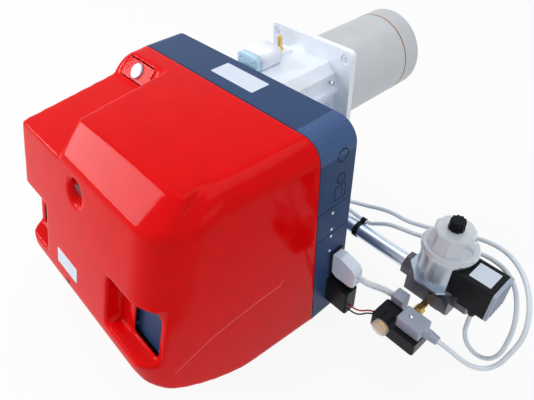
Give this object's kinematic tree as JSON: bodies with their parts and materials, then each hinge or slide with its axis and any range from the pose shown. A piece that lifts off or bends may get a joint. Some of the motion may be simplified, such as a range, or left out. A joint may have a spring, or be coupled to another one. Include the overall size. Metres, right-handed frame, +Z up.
{
  "type": "forced draught gas burner",
  "caption": "Industrial gas burner: red moulded hood on a dark body, cast flange with steel blast tube, and a side gas train with solenoid valve and pressure switch.",
  "frame": {"origin": "centre of the four bolt holes, on the boiler side of the flange", "axes": "+Y along the blast tube into the boiler, +X towards the gas train, +Z up"},
  "size_m": [0.727, 0.7265, 0.4],
  "materials": {
    "red_hood": "glossy red moulding",
    "navy_shell": "dark blue-grey moulding",
    "cast_aluminium": "satin casting",
    "tube_steel": "satin steel",
    "brass": "bright brass",
    "zinc": "zinc plated",
    "dark_steel": "dark steel",
    "pale_blue": "pale blue paint",
    "white_button": "translucent white",
    "electrode_ceramic": "glazed",
    "black_plastic": "black moulding",
    "black_rubber": "matt",
    "bronze_valve": "dark bronze casting",
    "blue_grey_plate": "plated sheet",
    "silver_can": "satin",
    "clear_plastic": "clear moulding",
    "grey_plastic": "grey moulding",
    "light_plug": "light grey moulding",
    "yellow_dial": "yellow moulding",
    "white_lead": "white sheath",
    "red_insulation": "red insulation",
    "black_insulation": "black insulation",
    "motor_paint": "dark paint"
  },
  "bodies": {
    "base": {"air_box": "black_plastic", "air_pressure_switch": "black_plastic", "back_shell": "navy_shell", "black_wire": "black_insulation", "blast_tube": "tube_steel", "clear_cap": "clear_plastic", "coil_box": "black_plastic", "coil_end_plate": "grey_plastic", "coil_gland": "black_plastic", "coil_lead": "white_lead", "control_box": "grey_plastic", "din_gland": "grey_plastic", "din_plug": "grey_plastic", "electrode_clamp": "zinc", "electrodes": "electrode_ceramic", "fan_scroll": "cast_aluminium", "flame_disc": "tube_steel", "gas_distributor": "cast_aluminium", "gas_elbow": "zinc", "gas_pipe": "zinc", "gas_riser": "zinc", "hex_plug": "zinc", "hood_stud": "zinc", "ignition_transformer": "black_plastic", "lead_grommets": "black_rubber", "motor": "motor_paint", "motor_capacitor": "grey_plastic", "pipe_clip": "black_plastic", "plug_lead_1": "white_lead", "plug_lead_2": "white_lead", "plug_socket": "black_plastic", "power_plug": "light_plug", "red_wire": "red_insulation", "scroll_cover": "zinc", "servomotor": "black_plastic", "sleeve_casting": "cast_aluminium", "small_plug": "grey_plastic", "solenoid_can": "silver_can", "switch_body": "black_plastic", "switch_cover": "clear_plastic", "switch_lead": "white_lead", "switch_nipple": "brass", "test_nipple": "brass", "top_bracket": "pale_blue", "tube_end_ring": "tube_steel", "valve_base_plate": "blue_grey_plate", "valve_body": "bronze_valve"},
    "hood": {"hood": "red_hood", "button_panel": "red_hood", "intake_baffle_right": "navy_shell", "intake_baffle_left": "navy_shell"},
    "hood_screw": {"hood_screw": "dark_steel"},
    "reset_button": {"reset_button": "white_button"},
    "control_button": {"control_button": "white_button"},
    "fan_rotor": {"impeller": "zinc", "rotor_shaft": "dark_steel"},
    "damper": {"air_damper": "zinc", "servo_cam": "yellow_dial"},
    "flow_knob": {"flow_knob": "black_plastic"},
    "switch_dial": {"switch_dial": "yellow_dial"}
  },
  "joints": [
    {"name": "hood_pull_off", "type": "slide", "parent": "base", "child": "hood", "axis": [0, -1, 0], "range_m": [0, 0.35]},
    {"name": "hood_screw_turn", "type": "hinge", "parent": "hood", "child": "hood_screw", "pos_m": [-0.015, -0.4433, 0.008], "axis": [0, -1, 0], "continuous": true},
    {"name": "reset_press", "type": "slide", "parent": "hood", "child": "reset_button", "axis": [0, 0.7071, -0.7071], "range_m": [0, 0.003], "stiffness_N_per_m": 900, "springref_m": -0.001},
    {"name": "control_press", "type": "slide", "parent": "base", "child": "control_button", "axis": [0, 0.7071, -0.7071], "range_m": [0, 0.003], "stiffness_N_per_m": 600, "springref_m": -0.001},
    {"name": "fan_spin", "type": "hinge", "parent": "base", "child": "fan_rotor", "pos_m": [0, -0.3, -0.105], "axis": [1, 0, 0], "continuous": true},
    {"name": "damper_turn", "type": "hinge", "parent": "base", "child": "damper", "pos_m": [0.0965, -0.3, -0.105], "axis": [0, 0, 1], "range_deg": [0, 90]},
    {"name": "flow_knob_turn", "type": "hinge", "parent": "base", "child": "flow_knob", "pos_m": [0.352, -0.064, -0.075], "axis": [0, 0, 1], "range_deg": [0, 270]},
    {"name": "dial_turn", "type": "hinge", "parent": "base", "child": "switch_dial", "pos_m": [0.334, -0.183, -0.215], "axis": [0, -1, 0], "range_deg": [0, 300]}
  ],
  "couplings": [
    {"joint": "control_press", "follows": "reset_press", "ratio": 1}
  ]
}
